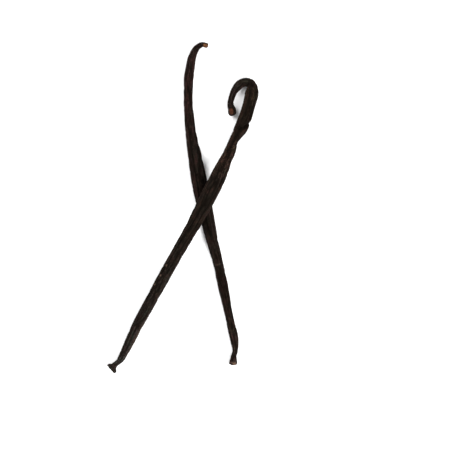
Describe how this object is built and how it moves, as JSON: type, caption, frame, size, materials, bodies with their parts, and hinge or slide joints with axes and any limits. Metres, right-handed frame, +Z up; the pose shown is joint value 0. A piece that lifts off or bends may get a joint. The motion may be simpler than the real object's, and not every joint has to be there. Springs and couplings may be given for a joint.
{
  "type": "bundle of vanilla pods",
  "caption": "Loose cured vanilla pods lying crossed, slim and dark with dried creases, curled stem ends and flared blossom ends.",
  "frame": {"origin": "on the surface that the pods lie on, under the middle of the box round both pods", "axes": "+Z up from the surface; +Y along the lower pod from its blossom end to its stem end; +X to the right as seen from above, towards the side where the upper pod's curled stem end lies"},
  "size_m": [0.075, 0.1654, 0.0104],
  "materials": {
    "pod_skin_brown": "oily satin, creased",
    "pod_skin_black": "oily satin, creased"
  },
  "bodies": {
    "root": {"pod_under": "pod_skin_brown", "pod_over": "pod_skin_black"}
  },
  "joints": []
}
